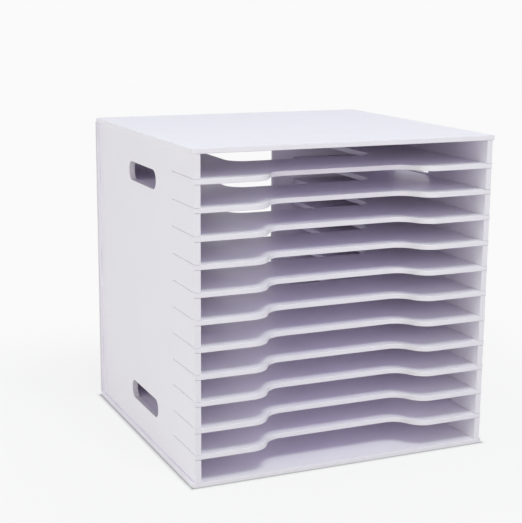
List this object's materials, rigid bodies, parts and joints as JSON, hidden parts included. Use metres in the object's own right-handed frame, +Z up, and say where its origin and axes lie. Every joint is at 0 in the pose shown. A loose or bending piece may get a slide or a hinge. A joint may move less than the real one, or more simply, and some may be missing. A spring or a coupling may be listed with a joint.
{
  "type": "paper sorter",
  "caption": "Open-fronted sorter for square scrapbook paper, with U-shaped pull-out shelves, scooped front edges, hand holes and an open strip down the back.",
  "frame": {"origin": "centre of the footprint, on the surface that the sorter stands on", "axes": "+X to the right seen from the open front, +Y towards the back, +Z up; the open front faces -Y"},
  "size_m": [0.33, 0.31, 0.33],
  "materials": {
    "carcass_board": "white foamed PVC board with a fine satin skin and plain sawn edges",
    "shelf_board": "white foamed PVC board with a fine satin skin and eased edges"
  },
  "bodies": {
    "carcass": {"left_side": "carcass_board", "right_side": "carcass_board", "left_back": "carcass_board", "right_back": "carcass_board", "top_panel": "carcass_board", "bottom_panel": "carcass_board"},
    "shelf_body_01": {"shelf_01": "shelf_board"},
    "shelf_body_02": {"shelf_02": "shelf_board"},
    "shelf_body_03": {"shelf_03": "shelf_board"},
    "shelf_body_04": {"shelf_04": "shelf_board"},
    "shelf_body_05": {"shelf_05": "shelf_board"},
    "shelf_body_06": {"shelf_06": "shelf_board"},
    "shelf_body_07": {"shelf_07": "shelf_board"},
    "shelf_body_08": {"shelf_08": "shelf_board"},
    "shelf_body_09": {"shelf_09": "shelf_board"},
    "shelf_body_10": {"shelf_10": "shelf_board"},
    "shelf_body_11": {"shelf_11": "shelf_board"}
  },
  "joints": [
    {"name": "shelf_01_slide", "type": "slide", "parent": "carcass", "child": "shelf_body_01", "axis": [0, -1, 0], "range_m": [0, 0.05]},
    {"name": "shelf_02_slide", "type": "slide", "parent": "carcass", "child": "shelf_body_02", "axis": [0, -1, 0], "range_m": [0, 0.05]},
    {"name": "shelf_03_slide", "type": "slide", "parent": "carcass", "child": "shelf_body_03", "axis": [0, -1, 0], "range_m": [0, 0.05]},
    {"name": "shelf_04_slide", "type": "slide", "parent": "carcass", "child": "shelf_body_04", "axis": [0, -1, 0], "range_m": [0, 0.05]},
    {"name": "shelf_05_slide", "type": "slide", "parent": "carcass", "child": "shelf_body_05", "axis": [0, -1, 0], "range_m": [0, 0.05]},
    {"name": "shelf_06_slide", "type": "slide", "parent": "carcass", "child": "shelf_body_06", "axis": [0, -1, 0], "range_m": [0, 0.05]},
    {"name": "shelf_07_slide", "type": "slide", "parent": "carcass", "child": "shelf_body_07", "axis": [0, -1, 0], "range_m": [0, 0.05]},
    {"name": "shelf_08_slide", "type": "slide", "parent": "carcass", "child": "shelf_body_08", "axis": [0, -1, 0], "range_m": [0, 0.05]},
    {"name": "shelf_09_slide", "type": "slide", "parent": "carcass", "child": "shelf_body_09", "axis": [0, -1, 0], "range_m": [0, 0.05]},
    {"name": "shelf_10_slide", "type": "slide", "parent": "carcass", "child": "shelf_body_10", "axis": [0, -1, 0], "range_m": [0, 0.05]},
    {"name": "shelf_11_slide", "type": "slide", "parent": "carcass", "child": "shelf_body_11", "axis": [0, -1, 0], "range_m": [0, 0.05]}
  ]
}
